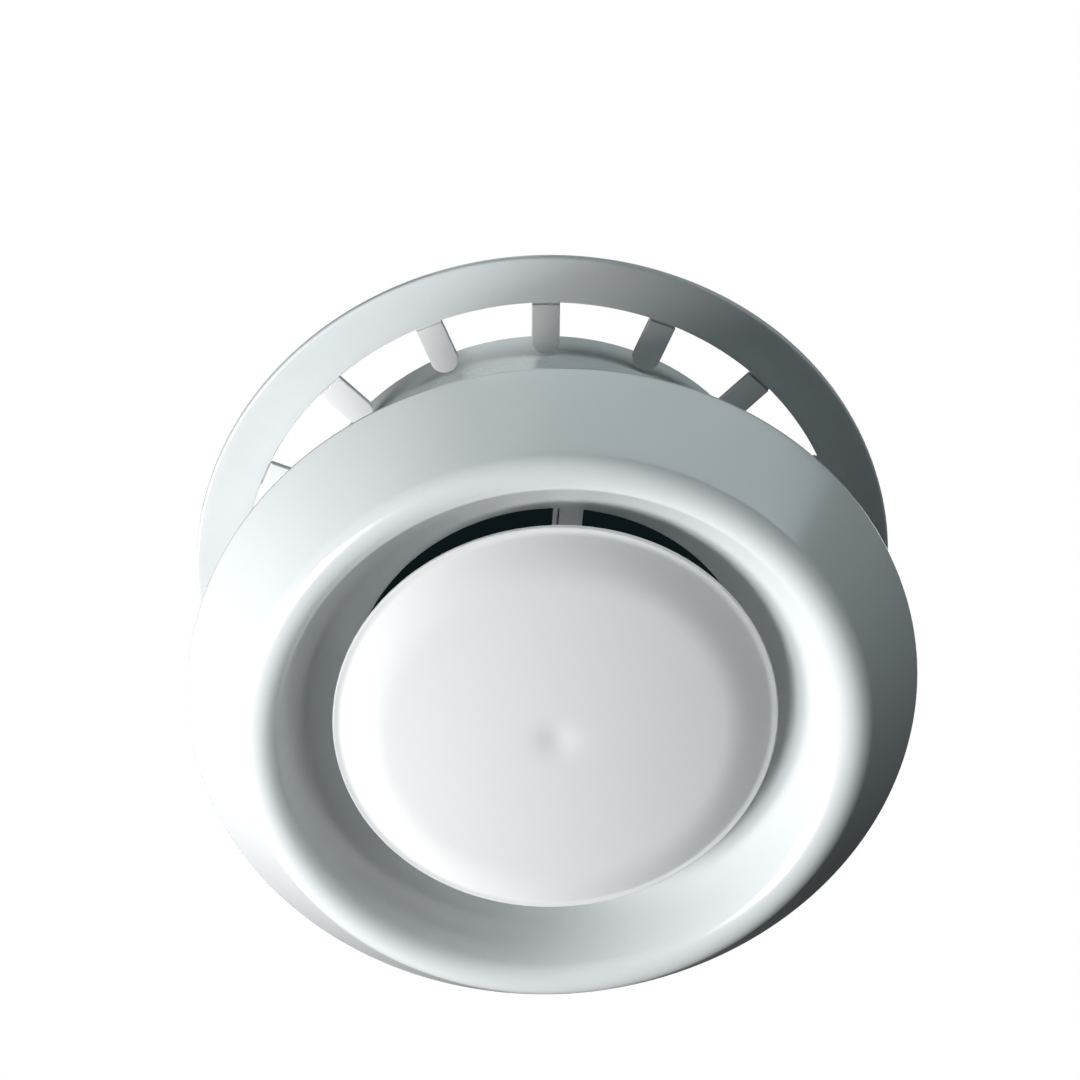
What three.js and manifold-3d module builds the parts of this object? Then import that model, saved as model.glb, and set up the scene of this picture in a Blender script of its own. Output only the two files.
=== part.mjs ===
// Ceiling air valve for a 125 mm duct: a bell-shaped front with a screw-adjusted disc in its throat,
// a spigot that goes up into the duct, and a retaining ring whose spring fingers grip the spigot.
// Units are millimetres. The origin is the centre of the rim's ceiling side, and +Z goes up the duct.

import * as THREE from 'three';
import * as BufferGeometryUtils from 'three/addons/utils/BufferGeometryUtils.js';
import Module from 'manifold-3d';

const wasm = await Module();
wasm.setup();

// Driving dimensions

const FIT_GAP = 0.3; // clearance between pieces that touch
const SLOPE_GAP = 0.6; // upright clearance behind the bell's sloping walls
const WALL = 2; // thickness of the moulded shells

const RIM_RADIUS = 90;
const RIM_EDGE = 0.8; // straight edge of the rim
const SEAT_WIDTH = 3.5; // flat ring that meets the ceiling
const CREST_RADIUS = 6; // rounding of the bell's lowest edge
const CREST_CENTRE = [72.2, -15.4];
const THROAT_RADIUS = 49.2;
const THROAT_HEIGHT = 5.1;

const SPIGOT_RADIUS = 62.5;
const SPIGOT_TOP = 73.4;
const SPIGOT_LEAD_IN = 0.6; // chamfer that guides the duct over the spigot

const GASKET_WIDTH = 4;

const RING_RADIUS = 90;
const RING_BORE = 77.5;
const RING_THICKNESS = 2.2;
const RING_HEIGHT = 61; // underside of the ring along the spigot
const RING_CHAMFER = 0.5;
const RING_TURN = -4.4; // degrees between the first finger and the first spider arm

const FINGER_COUNT = 16;
const FINGER_WIDTH = 7;
const FINGER_THICKNESS = 2;
const FINGER_TIP_GAP = 0.7; // from the finger tip to the spigot
const FINGER_ROOT_GAP = 0.6; // room for the finger's square root to swing inside the ring's bore

const DISC_RADIUS = 54.4;
const DISC_EDGE_HEIGHT = -12.5;
const DISC_LIP = 2; // flat band around the disc's edge
const DISC_SHOULDER = 6; // width of the steeper band between the lip and the dome
const DISC_SHOULDER_DROP = 4.5; // how far that band falls below the lip
const DISC_FRONT = -22; // lowest point of the dome
const DISC_BACK_RADIUS = 52;
const DISC_BACK_HEIGHT = -9;
const BOSS_RADIUS = 10;
const BOSS_TOP = -13;

const ARM_COUNT = 4;
const ARM_WIDTH = 7;
const ARM_THICKNESS = 5;
const ARM_EDGE = 1.2; // chamfer along an arm's lower edges
const SPIDER_BOTTOM = 6.8;
const SPIDER_RIM_HEIGHT = 8;
const SPIDER_RIM_WIDTH = 2.4;
const HUB_RADIUS = 10;
const HUB_BOTTOM = 4;
const HUB_TOP = 16;

const THREAD_RADIUS = 4; // M8
const NUT_ACROSS_FLATS = 13;
const NUT_THICKNESS = 6.5;
const THIN_NUT_THICKNESS = 4;
const WASHER_RADIUS = 8;
const WASHER_THICKNESS = 1.6;
const INSERT_RADIUS = 6;
const INSERT_FLANGE_RADIUS = 7.5;
const INSERT_FLANGE = 1.2;
const BOLT_HEAD_THICKNESS = 5.3;
const SPINDLE_TOP = 47;
const SPINDLE_CHAMFER = 1;
const STOP_HEIGHT = 38; // underside of the washer that stops the spindle leaving the hub

const ROUND_STEPS = 72; // facets around the large turned pieces
const SMALL_STEPS = 36; // facets around the fasteners
const CREST_STEPS = 12; // facets over the crest
const DOME_STEPS = 10; // facets from the disc's shoulder to its centre
const CURVE_STEPS = 12; // facets along an extruded outline's curve
const JOIN_OVERLAP = 1; // how far one solid runs into the next before they are joined

// Materials

const white = new THREE.MeshStandardMaterial({ color: 0xeef1f1, roughness: 0.28, metalness: 0 });
const foam = new THREE.MeshStandardMaterial({ color: 0x3a3c3e, roughness: 0.95, metalness: 0 });
const zinc = new THREE.MeshStandardMaterial({ color: 0xb9bcc0, roughness: 0.35, metalness: 1 });
const brass = new THREE.MeshStandardMaterial({ color: 0xb08d45, roughness: 0.35, metalness: 1 });

// Geometry helpers. Outlines are lists of [radius, height].

function arc(centre, radius, startDegrees, endDegrees, steps) {
  const points = [];
  for (let i = 0; i <= steps; i += 1) {
    const angle = THREE.MathUtils.degToRad(startDegrees + ((endDegrees - startDegrees) * i) / steps);
    points.push([centre[0] + radius * Math.cos(angle), centre[1] + radius * Math.sin(angle)]);
  }
  return points;
}

// Revolves an outline about +Z, in whichever order its points run.
function turned(outline, steps = ROUND_STEPS) {
  const points = outline.map(([radius, height]) => new THREE.Vector2(radius, height));
  if (THREE.ShapeUtils.isClockWise(points)) {
    points.reverse();
  }
  const endsOnAxis = points[0].x === 0 && points[points.length - 1].x === 0;
  if (!endsOnAxis) {
    points.push(points[0].clone());
  }
  return new THREE.LatheGeometry(points, steps).rotateX(Math.PI / 2);
}

// A flat ring or tube between two radii and two heights.
function tube(inner, outer, bottom, top, steps = ROUND_STEPS) {
  return turned([[inner, bottom], [outer, bottom], [outer, top], [inner, top]], steps);
}

function extruded(shape, height, bottom) {
  const geometry = new THREE.ExtrudeGeometry(shape, { depth: height, bevelEnabled: false, curveSegments: CURVE_STEPS });
  return geometry.translate(0, 0, bottom);
}

function hexagon(acrossFlats) {
  const corner = acrossFlats / Math.sqrt(3);
  const points = [];
  for (let i = 0; i < 6; i += 1) {
    const angle = (i * Math.PI) / 3;
    points.push(new THREE.Vector2(corner * Math.cos(angle), corner * Math.sin(angle)));
  }
  return new THREE.Shape(points);
}

function hexNut(thickness, bottom) {
  const shape = hexagon(NUT_ACROSS_FLATS);
  shape.holes.push(new THREE.Path().absarc(0, 0, THREAD_RADIUS + FIT_GAP, 0, Math.PI * 2));
  return extruded(shape, thickness, bottom);
}

function washer(bottom) {
  return tube(THREAD_RADIUS + FIT_GAP, WASHER_RADIUS, bottom, bottom + WASHER_THICKNESS, SMALL_STEPS);
}

function toSolid(geometry) {
  const bare = geometry.clone();
  bare.deleteAttribute('normal');
  bare.deleteAttribute('uv');
  const merged = BufferGeometryUtils.mergeVertices(bare, 1e-4);
  return new wasm.Manifold(new wasm.Mesh({
    numProp: 3,
    vertProperties: merged.attributes.position.array,
    triVerts: merged.index.array,
  }));
}

function toGeometry(solid) {
  const mesh = solid.getMesh();
  const geometry = new THREE.BufferGeometry();
  geometry.setAttribute('position', new THREE.BufferAttribute(mesh.vertProperties, 3));
  geometry.setIndex(new THREE.BufferAttribute(mesh.triVerts, 1));
  geometry.computeVertexNormals();
  return geometry;
}

// The angle, in degrees, from a circle's centre to where a line from a point touches it.
function touchAngle(centre, radius, point, side) {
  const distance = Math.hypot(point[0] - centre[0], point[1] - centre[1]);
  const direction = Math.atan2(point[1] - centre[1], point[0] - centre[0]);
  return THREE.MathUtils.radToDeg(direction + side * Math.acos(radius / distance));
}

const valve = new THREE.Group();

function add(parent, name, geometry, material) {
  const mesh = new THREE.Mesh(geometry, material);
  mesh.name = name;
  parent.add(mesh);
  return mesh;
}

// Front bell: rim, cone, rounded crest and funnel, as one shell

const rimEdge = [RIM_RADIUS, -RIM_EDGE];
const throatEdge = [THROAT_RADIUS, THROAT_HEIGHT];
const coneTouch = touchAngle(CREST_CENTRE, CREST_RADIUS, rimEdge, -1);
const funnelTouch = touchAngle(CREST_CENTRE, CREST_RADIUS, throatEdge, 1) - 360;

function offset(point, degrees, distance) {
  const angle = THREE.MathUtils.degToRad(degrees);
  return [point[0] + distance * Math.cos(angle), point[1] + distance * Math.sin(angle)];
}

// The shell's back is a straight line on the cone and on the funnel, WALL behind the front.
const coneBackEdge = offset(rimEdge, coneTouch, -WALL);
const throatBackEdge = offset(throatEdge, funnelTouch, -WALL);
const coneRise = -1 / Math.tan(THREE.MathUtils.degToRad(coneTouch));
const funnelRise = -1 / Math.tan(THREE.MathUtils.degToRad(funnelTouch));

function coneBackHeight(radius) {
  return coneBackEdge[1] + (radius - coneBackEdge[0]) * coneRise;
}

function funnelBackHeight(radius) {
  return throatBackEdge[1] + (radius - throatBackEdge[0]) * funnelRise;
}

const seatInner = RIM_RADIUS - SEAT_WIDTH;

function frontBell() {
  const crestFront = arc(CREST_CENTRE, CREST_RADIUS, coneTouch, funnelTouch, CREST_STEPS);
  const crestBack = arc(CREST_CENTRE, CREST_RADIUS - WALL, funnelTouch, coneTouch, CREST_STEPS);
  return turned([
    [RIM_RADIUS, 0],
    rimEdge,
    ...crestFront,
    throatEdge,
    throatBackEdge,
    ...crestBack,
    [seatInner, coneBackHeight(seatInner)],
    [seatInner, 0],
  ]);
}

// Foam seal: a wedge bonded to the back of the cone, pressed flush with the rim's flat ring

function rimGasket() {
  const outer = seatInner - FIT_GAP;
  const inner = outer - GASKET_WIDTH;
  return turned([
    [outer, 0],
    [inner, 0],
    [inner, coneBackHeight(inner) + SLOPE_GAP],
    [outer, coneBackHeight(outer) + SLOPE_GAP],
  ]);
}

// Spigot: a tube whose lower end follows the back of the funnel

const spigotInner = SPIGOT_RADIUS - WALL;

function spigot() {
  return turned([
    [spigotInner, funnelBackHeight(spigotInner) + SLOPE_GAP],
    [SPIGOT_RADIUS, funnelBackHeight(SPIGOT_RADIUS) + SLOPE_GAP],
    [SPIGOT_RADIUS, SPIGOT_TOP - SPIGOT_LEAD_IN],
    [SPIGOT_RADIUS - SPIGOT_LEAD_IN, SPIGOT_TOP],
    [spigotInner, SPIGOT_TOP],
  ]);
}

// Spider: a hub on four arms inside a rim that snaps into the spigot

const insertBore = INSERT_RADIUS + FIT_GAP;
const insertFlangeBore = INSERT_FLANGE_RADIUS + FIT_GAP;

function spiderArm(degrees) {
  const half = ARM_WIDTH / 2;
  const section = new THREE.Shape();
  section.moveTo(-half + ARM_EDGE, 0);
  section.lineTo(half - ARM_EDGE, 0);
  section.lineTo(half, ARM_EDGE);
  section.lineTo(half, ARM_THICKNESS);
  section.lineTo(-half, ARM_THICKNESS);
  section.lineTo(-half, ARM_EDGE);
  const start = HUB_RADIUS - JOIN_OVERLAP;
  const end = spigotInner - FIT_GAP - SPIDER_RIM_WIDTH / 2;
  const geometry = new THREE.ExtrudeGeometry(section, { depth: end - start, bevelEnabled: false });
  geometry.rotateX(Math.PI / 2);
  geometry.translate(0, -start, SPIDER_BOTTOM);
  return geometry.rotateZ(THREE.MathUtils.degToRad(degrees));
}

function spider() {
  const rimOuter = spigotInner - FIT_GAP;
  const rim = tube(rimOuter - SPIDER_RIM_WIDTH, rimOuter, SPIDER_BOTTOM, SPIDER_BOTTOM + SPIDER_RIM_HEIGHT);
  const flangeSeat = HUB_BOTTOM + INSERT_FLANGE + FIT_GAP;
  const hub = turned([
    [insertFlangeBore, HUB_BOTTOM],
    [HUB_RADIUS, HUB_BOTTOM],
    [HUB_RADIUS, HUB_TOP],
    [insertBore, HUB_TOP],
    [insertBore, flangeSeat],
    [insertFlangeBore, flangeSeat],
  ], SMALL_STEPS);
  let solid = toSolid(rim).add(toSolid(hub));
  for (let i = 0; i < ARM_COUNT; i += 1) {
    solid = solid.add(toSolid(spiderArm((360 * i) / ARM_COUNT)));
  }
  return toGeometry(solid);
}

// Threaded insert: a flanged brass bush in the hub that the spindle screws through

function hubInsert() {
  const bore = THREAD_RADIUS + FIT_GAP;
  const flangeTop = HUB_BOTTOM + INSERT_FLANGE;
  return turned([
    [bore, HUB_BOTTOM],
    [INSERT_FLANGE_RADIUS, HUB_BOTTOM],
    [INSERT_FLANGE_RADIUS, flangeTop],
    [INSERT_RADIUS, flangeTop],
    [INSERT_RADIUS, HUB_TOP],
    [bore, HUB_TOP],
  ], SMALL_STEPS);
}

// Retaining ring and its sprung fingers, in a group turned against the spider

function retainingRing() {
  const top = RING_THICKNESS;
  return turned([
    [RING_BORE, 0],
    [RING_RADIUS - RING_CHAMFER, 0],
    [RING_RADIUS, RING_CHAMFER],
    [RING_RADIUS, top - RING_CHAMFER],
    [RING_RADIUS - RING_CHAMFER, top],
    [RING_BORE, top],
  ]);
}

// One finger points from the ring's bore towards the axis, and ends in a half circle.
function finger() {
  const root = RING_BORE - FINGER_ROOT_GAP;
  const tip = SPIGOT_RADIUS + FINGER_TIP_GAP;
  const half = FINGER_WIDTH / 2;
  const shape = new THREE.Shape();
  shape.moveTo(-half, -root);
  shape.lineTo(half, -root);
  shape.lineTo(half, -tip - half);
  shape.absarc(0, -tip - half, half, 0, Math.PI);
  const bottom = (RING_THICKNESS - FINGER_THICKNESS) / 2;
  return extruded(shape, FINGER_THICKNESS, bottom);
}

// Disc: a shallow dome with a flat lip, hollow behind, and a boss that holds the spindle's head

const pocketAcrossFlats = NUT_ACROSS_FLATS + 2 * FIT_GAP;
const headTop = BOSS_TOP - FIT_GAP;
const headBottom = headTop - BOLT_HEAD_THICKNESS;

function disc() {
  const lipInner = DISC_RADIUS - DISC_LIP;
  const lipHeight = DISC_EDGE_HEIGHT - WALL / 2;
  const shoulderRadius = lipInner - DISC_SHOULDER;
  const shoulderHeight = lipHeight - DISC_SHOULDER_DROP;
  const rise = shoulderHeight - DISC_FRONT;
  const front = [];
  const back = [];
  for (let i = 0; i <= DOME_STEPS; i += 1) {
    const share = i / DOME_STEPS;
    const radius = shoulderRadius * (1 - share);
    const height = shoulderHeight - rise * (1 - (1 - share) ** 2);
    front.push([radius, height]);
    back.unshift([radius, height + WALL]);
  }
  const shell = turned([
    ...front,
    ...back,
    [lipInner - WALL, DISC_EDGE_HEIGHT + WALL / 2],
    [DISC_BACK_RADIUS - WALL, DISC_BACK_HEIGHT],
    [DISC_BACK_RADIUS, DISC_BACK_HEIGHT],
    [DISC_RADIUS, DISC_EDGE_HEIGHT],
    [DISC_RADIUS, lipHeight],
    [lipInner, lipHeight],
  ]);
  const bossBottom = DISC_FRONT + WALL / 2;
  const round = new THREE.Shape().absarc(0, 0, BOSS_RADIUS, 0, Math.PI * 2);
  const boss = extruded(round, BOSS_TOP - bossBottom, bossBottom);
  const pocketBottom = headBottom - FIT_GAP;
  const pocket = extruded(hexagon(pocketAcrossFlats), BOSS_TOP - pocketBottom + JOIN_OVERLAP, pocketBottom);
  return toGeometry(toSolid(shell).add(toSolid(boss)).subtract(toSolid(pocket)));
}

// Spindle: a hexagon-headed bolt that turns with the disc

function spindle() {
  const head = extruded(hexagon(NUT_ACROSS_FLATS), BOLT_HEAD_THICKNESS, headBottom);
  const shank = turned([
    [0, headTop - JOIN_OVERLAP],
    [THREAD_RADIUS, headTop - JOIN_OVERLAP],
    [THREAD_RADIUS, SPINDLE_TOP - SPINDLE_CHAMFER],
    [THREAD_RADIUS - SPINDLE_CHAMFER, SPINDLE_TOP],
    [0, SPINDLE_TOP],
  ], SMALL_STEPS);
  return toGeometry(toSolid(head).add(toSolid(shank)));
}

// Assembly

add(valve, 'front_bell', frontBell(), white);
add(valve, 'rim_gasket', rimGasket(), foam);
add(valve, 'spigot', spigot(), white);
add(valve, 'spider', spider(), white);
add(valve, 'hub_insert', hubInsert(), brass);

const ringGroup = new THREE.Group();
ringGroup.position.z = RING_HEIGHT;
ringGroup.rotation.z = THREE.MathUtils.degToRad(RING_TURN);
valve.add(ringGroup);
add(ringGroup, 'retaining_ring', retainingRing(), white);
for (let i = 0; i < FINGER_COUNT; i += 1) {
  const name = `finger_${String(i + 1).padStart(2, '0')}`;
  const mesh = add(ringGroup, name, finger(), white);
  mesh.rotation.z = (2 * Math.PI * i) / FINGER_COUNT;
}

const discWasherBottom = BOSS_TOP + FIT_GAP;
const discNutBottom = discWasherBottom + WASHER_THICKNESS + FIT_GAP;
add(valve, 'disc', disc(), white);
add(valve, 'spindle', spindle(), zinc);
add(valve, 'disc_washer', washer(discWasherBottom), zinc);
add(valve, 'disc_nut', hexNut(THIN_NUT_THICKNESS, discNutBottom), zinc);

const lockWasherBottom = HUB_TOP + FIT_GAP;
const lockNutBottom = lockWasherBottom + WASHER_THICKNESS + FIT_GAP;
add(valve, 'lock_washer', washer(lockWasherBottom), zinc);
add(valve, 'lock_nut', hexNut(NUT_THICKNESS, lockNutBottom), zinc);

add(valve, 'stop_washer', washer(STOP_HEIGHT), zinc);
add(valve, 'stop_nut', hexNut(THIN_NUT_THICKNESS, STOP_HEIGHT + WASHER_THICKNESS + FIT_GAP), zinc);

export default valve;
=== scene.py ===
"""Looks of the ceiling air valve: smooth moulded shells, a threaded spindle and its fasteners.

Units are metres. +Z goes up the duct, and the origin is the centre of the rim's ceiling side.
Materials are procedural, and each piece takes the place of one CAD node.
"""

from math import acos, atan2, cos, degrees, exp, hypot, pi, radians, sin, sqrt

import bmesh
import bpy
from mathutils import Matrix, Vector

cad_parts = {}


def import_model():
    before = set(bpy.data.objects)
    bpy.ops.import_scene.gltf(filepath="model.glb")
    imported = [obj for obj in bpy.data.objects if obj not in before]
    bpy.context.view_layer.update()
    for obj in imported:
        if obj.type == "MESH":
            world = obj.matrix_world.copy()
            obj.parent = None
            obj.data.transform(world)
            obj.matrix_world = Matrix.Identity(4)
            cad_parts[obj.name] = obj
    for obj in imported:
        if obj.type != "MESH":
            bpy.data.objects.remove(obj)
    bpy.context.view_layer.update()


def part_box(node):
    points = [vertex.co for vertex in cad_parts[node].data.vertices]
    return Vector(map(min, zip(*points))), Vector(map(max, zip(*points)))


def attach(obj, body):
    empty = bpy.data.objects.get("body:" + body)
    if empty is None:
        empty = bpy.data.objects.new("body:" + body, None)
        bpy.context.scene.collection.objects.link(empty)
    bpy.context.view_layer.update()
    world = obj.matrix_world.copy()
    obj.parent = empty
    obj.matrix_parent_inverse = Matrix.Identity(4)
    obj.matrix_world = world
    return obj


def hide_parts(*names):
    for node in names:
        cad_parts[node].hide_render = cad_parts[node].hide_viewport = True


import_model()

MM = 0.001

# Sizes read from the frame

bell_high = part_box("front_bell")[1]
spigot_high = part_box("spigot")[1]
gasket_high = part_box("rim_gasket")[1]
ring_low, ring_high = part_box("retaining_ring")
disc_low, disc_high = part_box("disc")
spider_low, spider_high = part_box("spider")
spindle_low, spindle_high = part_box("spindle")
insert_low, insert_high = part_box("hub_insert")

# Sizes that the frame's boxes don't give: walls and clearances

WALL = 2.0 * MM
FIT_GAP = 0.3 * MM
SLOPE_GAP = 0.6 * MM

# Front bell and its seal, as (radius, height) where there are two numbers

RIM_EDGE = 0.8 * MM
SEAT_WIDTH = 3.5 * MM
CREST_RADIUS = 6.0 * MM
CREST_CENTRE = (72.2 * MM, -15.4 * MM)
THROAT = (49.2 * MM, 5.1 * MM)
GASKET_WIDTH = 4.0 * MM

# Retaining ring and fingers; the turn is in degrees

RING_BORE = 77.5 * MM
RING_TURN = -4.4
FINGER_COUNT = 16
FINGER_WIDTH = 7.0 * MM
FINGER_TIP_GAP = 0.7 * MM
FINGER_ROOT_GAP = 0.6 * MM
WEB_THICKNESS = 0.9 * MM

# Disc and its boss

DISC_EDGE_HEIGHT = -12.5 * MM
DISC_LIP = 1.6 * MM
LIP_FILLET = 2.0 * MM
DISC_SHOULDER = 6.0 * MM
DISC_SHOULDER_DROP = 4.5 * MM
DISC_BACK_RADIUS = 52.0 * MM
SINK_DEPTH = 0.6 * MM
SINK_RADIUS = 4.2 * MM
BOSS_RADIUS = 10.0 * MM
BOSS_TOP = -13.0 * MM

# Spider and the insert in its hub

SPIDER_BOTTOM = 6.8 * MM
SPIDER_RIM_WIDTH = 2.4 * MM
SPIDER_RIM_HEIGHT = 8.0 * MM
ARM_COUNT = 4
ARM_WIDTH = 7.0 * MM
ARM_THICKNESS = 5.0 * MM
HUB_RADIUS = 10.0 * MM
INSERT_RADIUS = 6.0 * MM
INSERT_FLANGE = 1.2 * MM

# M8 fasteners

THREAD_RADIUS = 4.0 * MM
THREAD_PITCH = 1.25 * MM
THREAD_DEPTH = 0.55 * MM
NUT_ACROSS_FLATS = 13.0 * MM
BOLT_HEAD_THICKNESS = 5.3 * MM

# Fineness: steps around large and small round pieces, and the angle in degrees above which an edge is sharp

LARGE_STEPS = 256
SMALL_STEPS = 96
SHARP_ANGLE = 32

# Studio: camera angles and roll in degrees, lens and sensor in millimetres

CAMERA_AZIMUTH = -99.0
CAMERA_ELEVATION = -58.64
CAMERA_DISTANCE = 987.6 * MM
CAMERA_AIM = (-5.4 * MM, -32.8 * MM, 18.55 * MM)
CAMERA_ROLL = -4.69
CAMERA_LENS = 133.3
CAMERA_SENSOR = 36
FLOOR_HEIGHT = -1.3
FLOOR_HALF_SIZE = 3.0
LAMP_DISTANCE = 1.0


# Outlines: lists of (radius, height)

def arc(centre, radius, start, end, steps):
    """Points on a circle between two angles in degrees."""
    angles = [radians(start + (end - start) * i / steps) for i in range(steps + 1)]
    return [(centre[0] + radius * cos(a), centre[1] + radius * sin(a)) for a in angles]


def rounded(corners, steps=6):
    """A closed outline from (radius, height, fillet) corners, each rounded by its fillet."""
    points = []
    count = len(corners)
    for i, (x, y, fillet) in enumerate(corners):
        here = Vector((x, y))
        if fillet == 0:
            points.append((x, y))
            continue
        before = (Vector(corners[i - 1][:2]) - here).normalized()
        after = (Vector(corners[(i + 1) % count][:2]) - here).normalized()
        half = acos(max(-1.0, min(1.0, before.dot(after)))) / 2
        reach = fillet / max(1e-9, abs(sin(half) / cos(half)))
        start = here + before * reach
        end = here + after * reach
        middle = here + (before + after).normalized() * (fillet / sin(half))
        first = atan2(start.y - middle.y, start.x - middle.x)
        last = atan2(end.y - middle.y, end.x - middle.x)
        turn = (last - first + pi) % (2 * pi) - pi
        for k in range(steps + 1):
            a = first + turn * k / steps
            points.append((middle.x + fillet * cos(a), middle.y + fillet * sin(a)))
    return points


def sharp(points):
    """Corners without a fillet, for rounded()."""
    return [(x, y, 0) for x, y in points]


def hexagon(across_flats):
    """The six corners of a nut's outline."""
    corner = across_flats / sqrt(3)
    return [(corner * cos(pi / 3 * k), corner * sin(pi / 3 * k)) for k in range(6)]


def spaced(outline, longest, closed=True):
    """Adds points along long straight stretches, so that smooth shading stays true."""
    points = []
    count = len(outline)
    for i in range(count if closed else count - 1):
        a = outline[i]
        b = outline[(i + 1) % count]
        parts = max(1, round(hypot(b[0] - a[0], b[1] - a[1]) / longest))
        for k in range(parts):
            share = k / parts
            points.append((a[0] + (b[0] - a[0]) * share, a[1] + (b[1] - a[1]) * share))
    if not closed:
        points.append(outline[-1])
    return points


# Meshes

def finish_mesh(name, bm, smooth_below=SHARP_ANGLE):
    """Makes an object from a bmesh, with outward faces and smooth shading up to an edge angle in degrees."""
    bmesh.ops.remove_doubles(bm, verts=bm.verts, dist=1e-7)
    bmesh.ops.recalc_face_normals(bm, faces=bm.faces)
    mesh = bpy.data.meshes.new(name)
    bm.to_mesh(mesh)
    bm.free()
    for polygon in mesh.polygons:
        polygon.use_smooth = True
    mesh.set_sharp_from_angle(angle=radians(smooth_below))
    piece = bpy.data.objects.new(name, mesh)
    bpy.context.scene.collection.objects.link(piece)
    return piece


def turned_bmesh(outline, steps, closed=True):
    """Revolves an outline about +Z. An open outline starts and ends on the axis."""
    bm = bmesh.new()
    rings = []
    for radius, height in outline:
        if radius < 1e-7:
            rings.append([bm.verts.new((0, 0, height))])
            continue
        ring = []
        for k in range(steps):
            a = 2 * pi * k / steps
            ring.append(bm.verts.new((radius * cos(a), radius * sin(a), height)))
        rings.append(ring)
    last = len(rings) if closed else len(rings) - 1
    for i in range(last):
        low = rings[i]
        high = rings[(i + 1) % len(rings)]
        for k in range(steps):
            n = (k + 1) % steps
            if len(low) == 1:
                bm.faces.new((low[0], high[n], high[k]))
            elif len(high) == 1:
                bm.faces.new((low[k], low[n], high[0]))
            else:
                bm.faces.new((low[k], low[n], high[n], high[k]))
    return bm


def turned(name, outline, steps=LARGE_STEPS, longest=2.0 * MM, closed=True):
    """A round piece from its outline, with no stretch of it longer than the given length."""
    return finish_mesh(name, turned_bmesh(spaced(outline, longest, closed), steps, closed))


def prism(name, outline, bottom, top, bevels=()):
    """Extrudes a flat outline of (x, y) points, then rounds edges: bevels lists (height, size, segments)."""
    bm = bmesh.new()
    face = bm.faces.new([bm.verts.new((x, y, bottom)) for x, y in outline])
    made = bmesh.ops.extrude_face_region(bm, geom=[face])
    raised = [g for g in made["geom"] if isinstance(g, bmesh.types.BMVert)]
    bmesh.ops.translate(bm, verts=raised, vec=(0, 0, top - bottom))
    bmesh.ops.recalc_face_normals(bm, faces=bm.faces)
    for height, size, segments in bevels:
        rim = [e for e in bm.edges if all(abs(v.co.z - height) < 1e-7 for v in e.verts)]
        bmesh.ops.bevel(bm, geom=rim, offset=size, segments=segments, affect="EDGES", profile=0.5)
    return finish_mesh(name, bm)


def combined(piece, *others, how="UNION"):
    """Joins or cuts other closed pieces into a piece, and removes them."""
    for other in others:
        modifier = piece.modifiers.new("combine", "BOOLEAN")
        modifier.operation = how
        modifier.solver = "MANIFOLD"
        modifier.object = other
    bpy.context.view_layer.update()
    evaluated = piece.evaluated_get(bpy.context.evaluated_depsgraph_get())
    mesh = bpy.data.meshes.new_from_object(evaluated)
    piece.modifiers.clear()
    piece.data = mesh
    for polygon in mesh.polygons:
        polygon.use_smooth = True
    mesh.set_sharp_from_angle(angle=radians(SHARP_ANGLE))
    for other in others:
        bpy.data.objects.remove(other)
    return piece


def turned_by(piece, angle):
    """Turns a piece's mesh about the axis, in degrees, and leaves its object at the origin."""
    piece.data.transform(Matrix.Rotation(radians(angle), 4, "Z"))
    return piece


def show(piece, body, node, material):
    """Puts a finished piece in place of a CAD node."""
    piece.data.materials.append(material)
    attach(piece, body)
    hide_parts(node)
    return piece


# Materials

def new_material(name):
    """A new material with its node tree and its shader."""
    material = bpy.data.materials.new(name)
    material.use_nodes = True
    tree = material.node_tree
    return material, tree, tree.nodes["Principled BSDF"]


def noise(tree, scale, detail=3.0, roughness=0.5, stretch=None):
    """Noise on the object's own coordinates, in metres; scale is features per metre."""
    place = tree.nodes.new("ShaderNodeTexCoord")
    texture = tree.nodes.new("ShaderNodeTexNoise")
    texture.inputs["Scale"].default_value = scale
    texture.inputs["Detail"].default_value = detail
    texture.inputs["Roughness"].default_value = roughness
    source = place.outputs["Object"]
    if stretch:
        mapping = tree.nodes.new("ShaderNodeMapping")
        mapping.inputs["Scale"].default_value = stretch
        tree.links.new(source, mapping.inputs["Vector"])
        source = mapping.outputs["Vector"]
    tree.links.new(source, texture.inputs["Vector"])
    return texture.outputs["Fac"]


def ranged(tree, source, low, high, from_low=0.35, from_high=0.65):
    """Maps a texture's middle range to low..high."""
    node = tree.nodes.new("ShaderNodeMapRange")
    node.inputs["From Min"].default_value = from_low
    node.inputs["From Max"].default_value = from_high
    node.inputs["To Min"].default_value = low
    node.inputs["To Max"].default_value = high
    tree.links.new(source, node.inputs["Value"])
    return node.outputs["Result"]


def blended(tree, factor, colour_a, colour_b):
    """Mixes two colours, each a tuple or another node's output, by a factor."""
    node = tree.nodes.new("ShaderNodeMix")
    node.data_type = "RGBA"
    tree.links.new(factor, node.inputs["Factor"])
    for socket, colour in (("A", colour_a), ("B", colour_b)):
        target = [s for s in node.inputs if s.name == socket and s.type == "RGBA"][0]
        if isinstance(colour, tuple):
            target.default_value = (*colour, 1)
        else:
            tree.links.new(colour, target)
    return [s for s in node.outputs if s.type == "RGBA"][0]


def bumps(tree, shader, layers):
    """Stacks bump layers of (height source, depth in metres)."""
    normal = None
    for source, depth in layers:
        node = tree.nodes.new("ShaderNodeBump")
        node.inputs["Strength"].default_value = 1.0
        node.inputs["Distance"].default_value = depth
        tree.links.new(source, node.inputs["Height"])
        if normal:
            tree.links.new(normal, node.inputs["Normal"])
        normal = node.outputs["Normal"]
    tree.links.new(normal, shader.inputs["Normal"])


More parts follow.
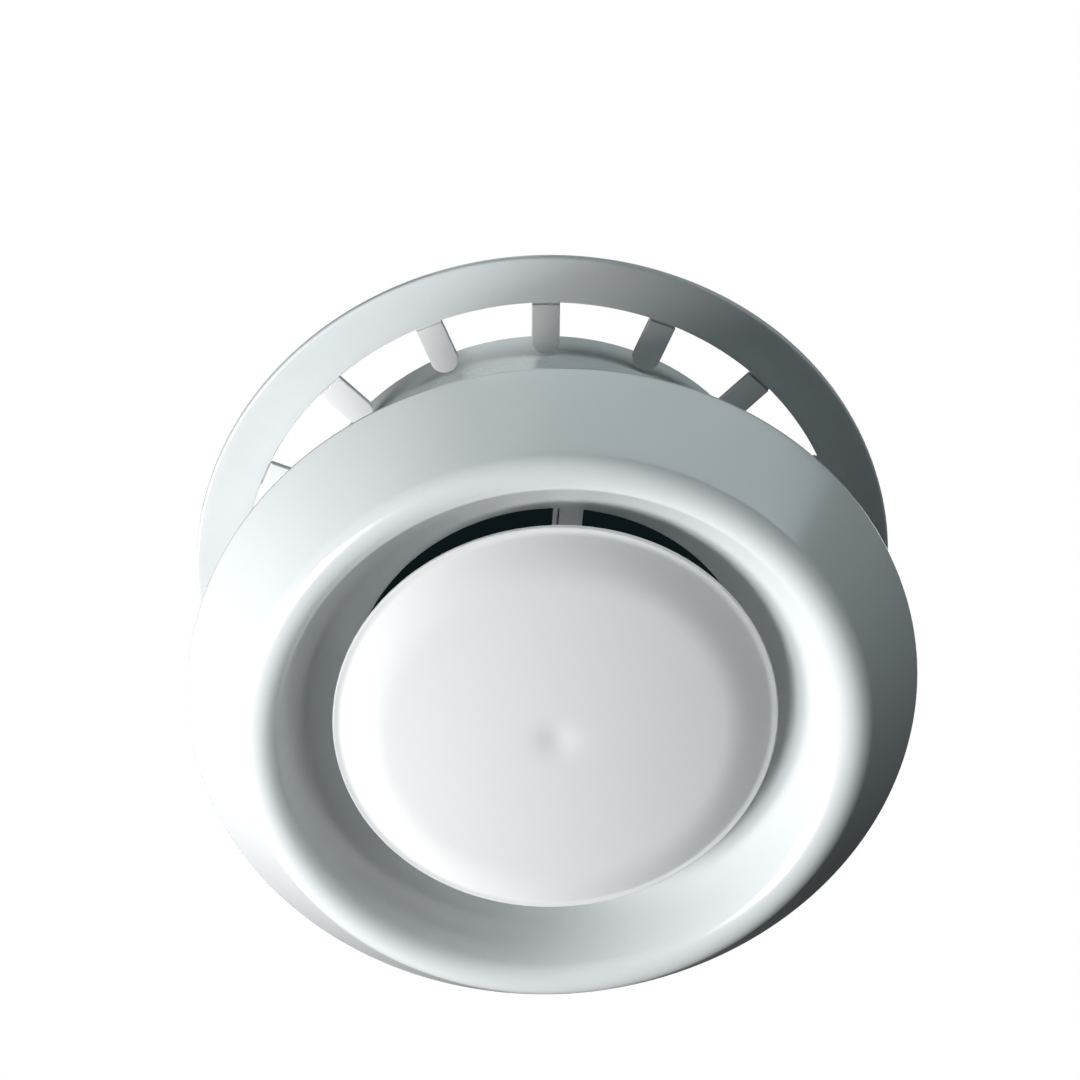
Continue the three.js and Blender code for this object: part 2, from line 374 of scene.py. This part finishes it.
def moulded_plastic(name, colour, shade, gloss_low, gloss_high):
    """Injection-moulded white plastic: faint mottling, fine grain, and a gloss that varies with handling."""
    material, tree, shader = new_material(name)
    mottling = ranged(tree, noise(tree, 45, 4), 0, 1)
    base = blended(tree, mottling, colour, shade)
    specks = ranged(tree, noise(tree, 900, 2, 0.7), 0, 0.35, 0.66, 0.8)
    dust = tuple(0.82 * c for c in shade)
    tree.links.new(blended(tree, specks, base, dust), shader.inputs["Base Color"])
    handling = noise(tree, 28, 5, 0.6)
    tree.links.new(ranged(tree, handling, gloss_low, gloss_high), shader.inputs["Roughness"])
    shader.inputs["IOR"].default_value = 1.53
    grain = noise(tree, 2600, 2, 0.6)
    ripple = noise(tree, 60, 2)
    bumps(tree, shader, [(ripple, 0.008 * MM), (grain, 0.008 * MM)])
    return material


def plated_steel(name):
    """Bright zinc plate: bluish silver with a faint yellow passivation and fine turning lines."""
    material, tree, shader = new_material(name)
    film = ranged(tree, noise(tree, 160, 4), 0, 1)
    silver = blended(tree, film, (0.60, 0.62, 0.66), (0.66, 0.64, 0.58))
    tree.links.new(silver, shader.inputs["Base Color"])
    tree.links.new(ranged(tree, noise(tree, 420, 3), 0.24, 0.42), shader.inputs["Roughness"])
    shader.inputs["Metallic"].default_value = 1.0
    lines = noise(tree, 1, 2, 0.5, stretch=(400, 400, 6000))
    bumps(tree, shader, [(lines, 0.01 * MM)])
    return material


def turned_brass(name):
    """Machined brass, slightly tarnished, with tool marks around the axis."""
    material, tree, shader = new_material(name)
    tarnish = ranged(tree, noise(tree, 220, 4), 0, 1)
    yellow = blended(tree, tarnish, (0.78, 0.60, 0.30), (0.58, 0.42, 0.20))
    tree.links.new(yellow, shader.inputs["Base Color"])
    tree.links.new(ranged(tree, noise(tree, 500, 3), 0.22, 0.4), shader.inputs["Roughness"])
    shader.inputs["Metallic"].default_value = 1.0
    marks = noise(tree, 1, 2, 0.5, stretch=(500, 500, 9000))
    bumps(tree, shader, [(marks, 0.012 * MM)])
    return material


def foam_rubber(name):
    """Closed-cell foam: dark grey, matt, with small open cells on its cut faces, whose pits are darkened
    with painted shade.
    """
    material, tree, shader = new_material(name)
    place = tree.nodes.new("ShaderNodeTexCoord")
    cells = tree.nodes.new("ShaderNodeTexVoronoi")
    cells.inputs["Scale"].default_value = 1400
    tree.links.new(place.outputs["Object"], cells.inputs["Vector"])
    depth = ranged(tree, cells.outputs["Distance"], 0, 1, 0.0, 0.6)
    # The colour is darkest where the cells' bumps sink deepest: painted shade in the pits.
    grey_with_painted_pit_shade = blended(tree, depth, (0.025, 0.027, 0.03), (0.075, 0.08, 0.085))
    tree.links.new(grey_with_painted_pit_shade, shader.inputs["Base Color"])
    tree.links.new(ranged(tree, noise(tree, 300), 0.82, 0.98), shader.inputs["Roughness"])
    bumps(tree, shader, [(depth, 0.25 * MM), (noise(tree, 120), 0.2 * MM)])
    return material


bell_plastic = moulded_plastic("bell_plastic", (0.80, 0.82, 0.825), (0.785, 0.808, 0.813), 0.17, 0.22)
disc_plastic = moulded_plastic("disc_plastic", (0.83, 0.845, 0.85), (0.815, 0.833, 0.838), 0.17, 0.22)
spigot_plastic = moulded_plastic("spigot_plastic", (0.77, 0.80, 0.805), (0.75, 0.785, 0.79), 0.22, 0.30)
ring_plastic = moulded_plastic("ring_plastic", (0.78, 0.805, 0.81), (0.76, 0.79, 0.795), 0.28, 0.36)
steel = plated_steel("zinc_steel")
brass = turned_brass("brass_insert")
foam = foam_rubber("foam_seal")


# Front bell: rim, straight cone, rounded crest, and funnel up to the throat

def touch_angle(centre, radius, point, side):
    """The angle, in degrees, from a circle's centre to where a line from a point touches it."""
    away = Vector(point) - Vector(centre)
    return degrees(atan2(away.y, away.x) + side * acos(radius / away.length))


rim_radius = bell_high.x
rim_edge = (rim_radius, -RIM_EDGE)
cone_touch = touch_angle(CREST_CENTRE, CREST_RADIUS, rim_edge, -1)
funnel_touch = touch_angle(CREST_CENTRE, CREST_RADIUS, THROAT, 1) - 360


def moved(point, angle, distance):
    """A point moved by a distance at an angle in degrees."""
    return (point[0] + distance * cos(radians(angle)), point[1] + distance * sin(radians(angle)))


cone_back = moved(rim_edge, cone_touch, -WALL)
throat_back = moved(THROAT, funnel_touch, -WALL)
cone_rise = -cos(radians(cone_touch)) / sin(radians(cone_touch))
funnel_rise = -cos(radians(funnel_touch)) / sin(radians(funnel_touch))


def cone_back_height(radius):
    """Where the cone's hidden side is, at a radius."""
    return cone_back[1] + (radius - cone_back[0]) * cone_rise


def funnel_back_height(radius):
    """Where the funnel's hidden side is, at a radius."""
    return throat_back[1] + (radius - throat_back[0]) * funnel_rise


def bell_outline():
    """The shell's outline, with the crest as arcs and every other corner rounded."""
    seat_inner = rim_radius - SEAT_WIDTH
    fine = 0.35 * MM
    crest_front = arc(CREST_CENTRE, CREST_RADIUS, cone_touch, funnel_touch, 40)
    crest_back = arc(CREST_CENTRE, CREST_RADIUS - WALL, funnel_touch, cone_touch, 32)
    corners = [(rim_radius, 0.0, 0.25 * MM), (*rim_edge, fine)]
    corners += sharp(crest_front)
    corners += [(*THROAT, 0.8 * MM), (*throat_back, 0.8 * MM)]
    corners += sharp(crest_back)
    corners += [(seat_inner, cone_back_height(seat_inner), 0.5 * MM), (seat_inner, 0.0, 0.25 * MM)]
    return rounded(corners)


show(turned("bell_shell", bell_outline()), "valve_body", "front_bell", bell_plastic)


# Rim seal: a foam wedge behind the rim

def gasket_outline():
    """A wedge between the cone's hidden side and the ceiling."""
    outer = gasket_high.x
    inner = outer - GASKET_WIDTH
    soft = 0.5 * MM
    return rounded([
        (outer, 0.0, soft),
        (inner, 0.0, soft),
        (inner, cone_back_height(inner) + SLOPE_GAP, soft),
        (outer, cone_back_height(outer) + SLOPE_GAP, soft),
    ])


show(turned("rim_seal", gasket_outline()), "valve_body", "rim_gasket", foam)


# Spigot: a plain tube with a rounded lead-in, its lower end following the funnel's back

def spigot_outline():
    """The tube's wall, with a larger radius at the outer top edge, where it enters the duct."""
    outer = spigot_high.x
    inner = outer - WALL
    return rounded([
        (inner, funnel_back_height(inner) + SLOPE_GAP, 0.3 * MM),
        (outer, funnel_back_height(outer) + SLOPE_GAP, 0.3 * MM),
        (outer, spigot_high.z, 0.7 * MM),
        (inner, spigot_high.z, 0.4 * MM),
    ])


show(turned("spigot_tube", spigot_outline()), "valve_body", "spigot", spigot_plastic)


# Retaining ring and its sprung fingers

def ring_outline():
    """The flat band that the fingers point in from."""
    bottom = ring_low.z
    top = ring_high.z
    outer = ring_high.x
    edge = 0.7 * MM
    return rounded([
        (RING_BORE, bottom, 0.3 * MM),
        (outer, bottom, edge),
        (outer, top, edge),
        (RING_BORE, top, 0.3 * MM),
    ])


show(turned("ring_band", ring_outline()), "ring", "retaining_ring", ring_plastic)


def finger_piece(name):
    """A flat finger with a half-round tip, and a thin web at its root that bends."""
    finger_low, finger_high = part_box("finger_01")
    middle = (finger_low.z + finger_high.z) / 2
    half = FINGER_WIDTH / 2
    root = RING_BORE - FINGER_ROOT_GAP
    tip = spigot_high.x + FINGER_TIP_GAP
    round_tip = arc((0, -tip - half), half, 0, 180, 30)
    edge = 0.25 * MM
    blade = prism(name, [(-half, -root), (half, -root), *round_tip], finger_low.z, finger_high.z,
                  [(finger_low.z, edge, 3), (finger_high.z, edge, 3)])
    web_half = half - 0.2 * MM
    web_start = -RING_BORE - 0.1 * MM
    web_end = -root + 0.5 * MM
    web_outline = [(-web_half, web_start), (web_half, web_start), (web_half, web_end), (-web_half, web_end)]
    web = prism("web", web_outline, middle - WEB_THICKNESS / 2, middle + WEB_THICKNESS / 2)
    return combined(blade, web)


for i in range(FINGER_COUNT):
    number = f"{i + 1:02d}"
    blade = turned_by(finger_piece("finger_blade_" + number), RING_TURN + 360 / FINGER_COUNT * i)
    show(blade, "spring_finger_" + number, "finger_" + number, ring_plastic)


# Disc: dome with a sink mark at its centre, rolled shoulder, flat lip; a boss behind holds the spindle

def disc_piece():
    """The hollow dome with its boss, and the hexagonal pocket that holds the spindle's head."""
    radius = disc_high.x
    lip_inner = radius - DISC_LIP
    lip_height = DISC_EDGE_HEIGHT - WALL / 2
    shoulder = lip_inner - DISC_SHOULDER
    dome_rise = lip_height - DISC_SHOULDER_DROP - disc_low.z
    sweep_start = shoulder - DISC_SHOULDER
    sweep_rise = lip_height - disc_low.z - dome_rise * (lip_inner / shoulder) ** 2

    def dome(r):
        """A shallow dome that curves up faster towards the lip, with a sink mark in the middle."""
        sink = SINK_DEPTH * exp(-((r / SINK_RADIUS) ** 2))
        sweep = max(0.0, (r - sweep_start) / (lip_inner - sweep_start)) ** 2
        return disc_low.z + dome_rise * (r / shoulder) ** 2 + sweep_rise * sweep + sink

    def dome_points(end, offset):
        count = 48
        return [(end * k / count, dome(end * k / count) + offset, 0) for k in range(count + 1)]

    back_end = lip_inner - 1.5 * WALL
    outline = rounded([
        *dome_points(lip_inner, 0)[:-1],
        (lip_inner, lip_height, LIP_FILLET),
        (radius, lip_height, 0.45 * MM),
        (radius, DISC_EDGE_HEIGHT, 0.4 * MM),
        (DISC_BACK_RADIUS, disc_high.z, 0.5 * MM),
        (DISC_BACK_RADIUS - WALL, disc_high.z, 0.5 * MM),
        *reversed(dome_points(back_end, WALL)),
    ])
    shell = turned("disc_dome", outline, closed=False)
    boss_bottom = disc_low.z + WALL / 2
    boss = turned("boss", rounded([
        (0, boss_bottom, 0),
        (BOSS_RADIUS, boss_bottom, 0),
        (BOSS_RADIUS, BOSS_TOP, 0.5 * MM),
        (0, BOSS_TOP, 0),
    ]), SMALL_STEPS, closed=False)
    pocket_bottom = BOSS_TOP - FIT_GAP - BOLT_HEAD_THICKNESS - FIT_GAP
    pocket = prism("pocket", hexagon(NUT_ACROSS_FLATS + 2 * FIT_GAP), pocket_bottom, BOSS_TOP + MM)
    combined(shell, boss)
    return combined(shell, pocket, how="DIFFERENCE")


show(disc_piece(), "disc_assembly", "disc", disc_plastic)


# Spider: hub, four arms with chamfered lower edges, and the rim that snaps into the spigot

def arm_outline(start, end):
    """A bar along -Y that widens where it meets the hub and the rim."""
    half = ARM_WIDTH / 2
    flare = 2.0 * MM
    right = [(half + flare * (1 - sin(radians(a))), -start - flare + flare * cos(radians(a)))
             for a in range(0, 91, 15)]
    right += [(half + flare * (1 - sin(radians(a))), -end + flare - flare * cos(radians(a)))
              for a in range(90, -1, -15)]
    left = [(-x, y) for x, y in reversed(right)]
    return right + left


def spider_piece():
    """The bridge across the spigot, with the hub that the spindle screws through."""
    rim_outer = spigot_high.x - WALL - FIT_GAP
    rim_inner = rim_outer - SPIDER_RIM_WIDTH
    rim_top = SPIDER_BOTTOM + SPIDER_RIM_HEIGHT
    soft = 0.5 * MM
    rim = turned("spider_frame", rounded([
        (rim_inner, SPIDER_BOTTOM, soft),
        (rim_outer, SPIDER_BOTTOM, soft),
        (rim_outer, rim_top, soft),
        (rim_inner, rim_top, soft),
    ]))
    insert_bore = INSERT_RADIUS + FIT_GAP
    flange_bore = insert_high.x + FIT_GAP
    flange_seat = spider_low.z + INSERT_FLANGE + FIT_GAP
    hub = turned("hub", rounded([
        (flange_bore, spider_low.z, 0.2 * MM),
        (HUB_RADIUS, spider_low.z, 0.6 * MM),
        (HUB_RADIUS, spider_high.z, 0.8 * MM),
        (insert_bore, spider_high.z, 0.2 * MM),
        (insert_bore, flange_seat, 0),
        (flange_bore, flange_seat, 0),
    ]), SMALL_STEPS)
    arms = []
    arm_top = SPIDER_BOTTOM + ARM_THICKNESS
    outline = arm_outline(HUB_RADIUS - 0.5 * MM, rim_inner + 0.8 * MM)
    for i in range(ARM_COUNT):
        arm = prism("arm", outline, SPIDER_BOTTOM, arm_top,
                    [(SPIDER_BOTTOM, 1.1 * MM, 2), (arm_top, 0.4 * MM, 2)])
        arms.append(turned_by(arm, 360 / ARM_COUNT * i))
    return combined(rim, hub, *arms)


show(spider_piece(), "valve_body", "spider", spigot_plastic)


# Threaded insert in the hub

def insert_outline():
    """A flanged bush, with its flange at the lower end."""
    bore = THREAD_RADIUS + FIT_GAP
    flange_top = insert_low.z + INSERT_FLANGE
    edge = 0.2 * MM
    return rounded([
        (bore, insert_low.z, edge),
        (insert_high.x, insert_low.z, edge),
        (insert_high.x, flange_top, edge),
        (INSERT_RADIUS, flange_top, 0),
        (INSERT_RADIUS, insert_high.z, edge),
        (bore, insert_high.z, edge),
    ])


show(turned("insert_bush", insert_outline(), SMALL_STEPS), "valve_body", "hub_insert", brass)


# Fasteners

def washer_piece(name, node):
    """A flat washer with rounded edges, the size of its CAD node."""
    low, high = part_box(node)
    bore = THREAD_RADIUS + FIT_GAP
    edge = 0.25 * MM
    return turned(name, rounded([
        (bore, low.z, edge),
        (high.x, low.z, edge),
        (high.x, high.z, edge),
        (bore, high.z, edge),
    ]), SMALL_STEPS)


def hex_blank(name, low, high, chamfer_low, chamfer_high):
    """A hexagonal prism whose corners are turned down to a cone at either end."""
    corner = NUT_ACROSS_FLATS / sqrt(3)
    blank = prism(name, hexagon(NUT_ACROSS_FLATS), low, high)
    slope = 0.55
    inner = NUT_ACROSS_FLATS / 2 * 0.96
    beyond = corner + MM
    drop = (beyond - inner) * slope
    side_low = low + drop if chamfer_low else low
    side_high = high - drop if chamfer_high else high
    outline = [(0, low), (inner, low), (beyond, side_low), (beyond, side_high), (inner, high), (0, high)]
    envelope = turned("envelope", outline, SMALL_STEPS, closed=False)
    return combined(blank, envelope, how="INTERSECT")


def nut_piece(name, node):
    """A hexagonal nut, chamfered at both ends, with a plain bore that is countersunk at both ends."""
    low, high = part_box(node)
    blank = hex_blank(name, low.z, high.z, True, True)
    bore = THREAD_RADIUS + FIT_GAP
    mouth = 0.5 * MM
    wide = bore + MM + mouth
    drill = turned("drill", [
        (0, low.z - MM),
        (wide, low.z - MM),
        (bore, low.z + mouth),
        (bore, high.z - mouth),
        (wide, high.z + MM),
        (0, high.z + MM),
    ], SMALL_STEPS, closed=False)
    return combined(blank, drill, how="DIFFERENCE")


def threaded_shank(name, bottom, top):
    """A right-hand M8 thread with rounded crests, fading out under the head and at the chamfered tip."""
    around = 48
    per_turn = 10
    rows = round((top - bottom) / THREAD_PITCH * per_turn)
    fade = 2.0 * THREAD_PITCH
    chamfer = 1.0 * MM
    bm = bmesh.new()
    rings = []
    for j in range(rows + 1):
        z = bottom + (top - bottom) * j / rows
        ease = min(1.0, (z - bottom) / fade)
        tip = max(0.0, z - (top - chamfer))
        ring = []
        for k in range(around):
            a = 2 * pi * k / around
            wave = 0.5 - 0.5 * cos(2 * pi * (z / THREAD_PITCH - k / around))
            radius = THREAD_RADIUS - THREAD_DEPTH * ease * (1 - wave) - tip
            ring.append(bm.verts.new((radius * cos(a), radius * sin(a), z)))
        rings.append(ring)
    for low, high in zip(rings, rings[1:]):
        for k in range(around):
            n = (k + 1) % around
            bm.faces.new((low[k], low[n], high[n], high[k]))
    bm.faces.new(rings[0])
    bm.faces.new(rings[-1])
    return finish_mesh(name, bm, smooth_below=50)


def spindle_piece():
    """The hexagon-headed bolt, its head downwards in the disc's boss."""
    head_bottom = spindle_low.z
    head_top = head_bottom + BOLT_HEAD_THICKNESS
    head = hex_blank("spindle_bolt", head_bottom, head_top, True, False)
    return combined(head, threaded_shank("shank", head_top - MM, spindle_high.z))


show(spindle_piece(), "disc_assembly", "spindle", steel)
show(washer_piece("washer_behind_disc", "disc_washer"), "disc_assembly", "disc_washer", steel)
show(nut_piece("nut_behind_disc", "disc_nut"), "disc_assembly", "disc_nut", steel)
show(washer_piece("washer_at_stop", "stop_washer"), "stop_washer", "stop_washer", steel)
show(nut_piece("nut_at_stop", "stop_nut"), "disc_assembly", "stop_nut", steel)
show(washer_piece("washer_on_hub", "lock_washer"), "lock_washer", "lock_washer", steel)
show(nut_piece("nut_on_hub", "lock_nut"), "lock_nut", "lock_nut", steel)


# Floor, light and camera

def floor():
    """A pale floor far below. Its paint is dark to all but the camera, so it throws no light back up."""
    bm = bmesh.new()
    bmesh.ops.create_grid(bm, x_segments=1, y_segments=1, size=FLOOR_HALF_SIZE)
    bmesh.ops.translate(bm, verts=bm.verts, vec=(0, 0, FLOOR_HEIGHT))
    piece = finish_mesh("floor", bm)
    material, tree, shader = new_material("floor_paint")
    tone = ranged(tree, noise(tree, 3), 0, 1)
    pale = blended(tree, tone, (0.80, 0.80, 0.80), (0.77, 0.77, 0.77))
    shader.inputs["Base Color"].default_value = (0.08, 0.08, 0.08, 1)
    shader.inputs["Roughness"].default_value = 0.9
    tree.links.new(pale, shader.inputs["Emission Color"])
    rays = tree.nodes.new("ShaderNodeLightPath")
    tree.links.new(rays.outputs["Is Camera Ray"], shader.inputs["Emission Strength"])
    piece.data.materials.append(material)


def softbox(name, azimuth, drop, width, height, power, colour):
    """A light that faces the valve: azimuth and drop below the horizontal in degrees, sizes in metres."""
    light = bpy.data.lights.new(name, "AREA")
    light.shape = "RECTANGLE"
    light.size = width
    light.size_y = height
    light.energy = power
    light.color = colour
    lamp = bpy.data.objects.new(name, light)
    bpy.context.scene.collection.objects.link(lamp)
    turn = radians(azimuth)
    fall = radians(drop)
    lamp.location = LAMP_DISTANCE * Vector((cos(turn) * cos(fall), sin(turn) * cos(fall), -sin(fall)))
    lamp.rotation_euler = (-lamp.location).to_track_quat("-Z", "Y").to_euler()


def lights():
    """Low softboxes on the left as the key, a long weak one in front, and three above for the back."""
    softbox("key_low", 161, 23, 0.40, 0.24, 6.9, (1.0, 0.975, 0.97))
    softbox("key_middle", 161, 42, 0.24, 0.26, 3.1, (0.97, 0.995, 1.0))
    softbox("key_below", 168, 57, 0.35, 0.35, 4.9, (0.94, 0.99, 1.0))
    softbox("front_low", 293, 3, 1.9, 0.22, 4.1, (0.86, 0.98, 1.0))
    softbox("overhead", 0, -90, 0.5, 0.5, 1.1, (0.95, 0.99, 1.0))
    softbox("top_front", 250, -63, 0.3, 0.3, 0.8, (0.95, 0.99, 1.0))
    softbox("top_back", 45, -63, 0.3, 0.3, 0.8, (0.95, 0.99, 1.0))


def camera_place():
    """Where the camera is, from its angles and distance."""
    azimuth = radians(CAMERA_AZIMUTH)
    elevation = radians(CAMERA_ELEVATION)
    out = Vector((cos(azimuth) * cos(elevation), sin(azimuth) * cos(elevation), sin(elevation)))
    return CAMERA_DISTANCE * out


def camera():
    """Looks up at the valve from in front and below, with a long lens."""
    place = camera_place()
    lens = bpy.data.cameras.new("camera")
    lens.sensor_width = CAMERA_SENSOR
    lens.lens = CAMERA_LENS
    lens.clip_start = 0.01
    eye = bpy.data.objects.new("camera", lens)
    bpy.context.scene.collection.objects.link(eye)
    facing = (Vector(CAMERA_AIM) - place).to_track_quat("-Z", "Y").to_matrix().to_4x4()
    roll = Matrix.Rotation(radians(CAMERA_ROLL), 4, "Z")
    eye.matrix_world = Matrix.Translation(place) @ facing @ roll
    bpy.context.scene.camera = eye


def throat_painted_shade_mask(tree):
    """1 for the small patch of sky that is seen through the throat, which is painted near black there:
    painted shade in place of a duct's dark inside.
    """
    through = Vector((0, 0, THROAT[1])) - camera_place()
    direction = tree.nodes.new("ShaderNodeTexCoord")
    alike = tree.nodes.new("ShaderNodeVectorMath")
    alike.operation = "DOT_PRODUCT"
    alike.inputs[1].default_value = through.normalized()
    tree.links.new(direction.outputs["Generated"], alike.inputs[0])
    inside = tree.nodes.new("ShaderNodeMath")
    inside.operation = "GREATER_THAN"
    inside.inputs[1].default_value = cos(THROAT[0] / through.length)
    tree.links.new(alike.outputs["Value"], inside.inputs[0])
    return inside.outputs["Value"]


def world():
    """White to the camera, with painted shade through the throat: a near black patch where a duct's dark
    inside would be. A dim cool grey is the light all around.
    """
    sky = bpy.data.worlds.new("studio")
    bpy.context.scene.world = sky
    sky.use_nodes = True
    tree = sky.node_tree
    around = tree.nodes["Background"]
    around.inputs["Color"].default_value = (0.62, 0.72, 0.75, 1)
    around.inputs["Strength"].default_value = 0.02
    seen = tree.nodes.new("ShaderNodeBackground")
    # Near black in the throat patch: painted shade, not a lit or coloured surface.
    backdrop_with_painted_shade = blended(tree, throat_painted_shade_mask(tree), (1, 1, 1), (0.004, 0.008, 0.009))
    tree.links.new(backdrop_with_painted_shade, seen.inputs["Color"])
    rays = tree.nodes.new("ShaderNodeLightPath")
    choose = tree.nodes.new("ShaderNodeMixShader")
    tree.links.new(rays.outputs["Is Camera Ray"], choose.inputs["Fac"])
    tree.links.new(around.outputs["Background"], choose.inputs[1])
    tree.links.new(seen.outputs["Background"], choose.inputs[2])
    tree.links.new(choose.outputs["Shader"], tree.nodes["World Output"].inputs["Surface"])


bpy.context.scene.view_settings.view_transform = "Standard"
floor()
world()
lights()
camera()
